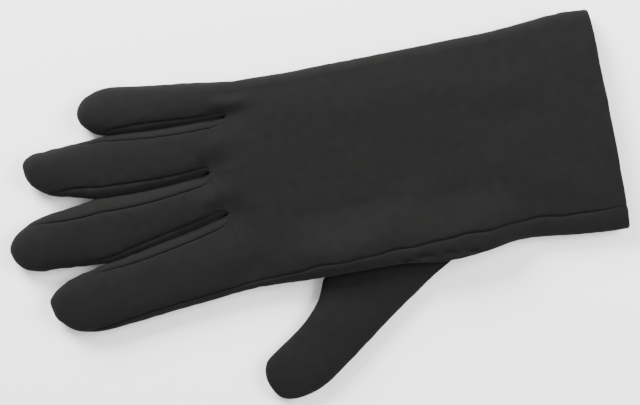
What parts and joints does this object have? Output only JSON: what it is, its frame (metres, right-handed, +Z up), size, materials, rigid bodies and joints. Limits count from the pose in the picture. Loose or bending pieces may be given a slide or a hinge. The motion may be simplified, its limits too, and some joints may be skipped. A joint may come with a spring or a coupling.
{
  "type": "glove liner",
  "caption": "Right-hand glove liner of charcoal brushed knit, lying palm down, with fourchettes between the fingers, a set-in thumb and a turned-in cuff hem.",
  "frame": {"origin": "middle of the glove's bounding box, on the plane that its palm lies on", "axes": "+Y from the cuff to the fingertips, +X towards the little finger, +Z up through the back of the hand"},
  "size_m": [0.1428, 0.26, 0.0182],
  "materials": {
    "knit": "matt brushed knit, charcoal",
    "side_knit": "matt brushed knit, charcoal, seen across the grain",
    "hem_knit": "matt knit, the cloth's inner face"
  },
  "bodies": {
    "root": {"back_panel": "knit", "palm_panel": "knit", "fourchette_index_middle": "side_knit", "fourchette_middle_ring": "side_knit", "fourchette_ring_little": "side_knit", "thumb": "knit", "cuff_hem": "hem_knit"}
  },
  "joints": []
}
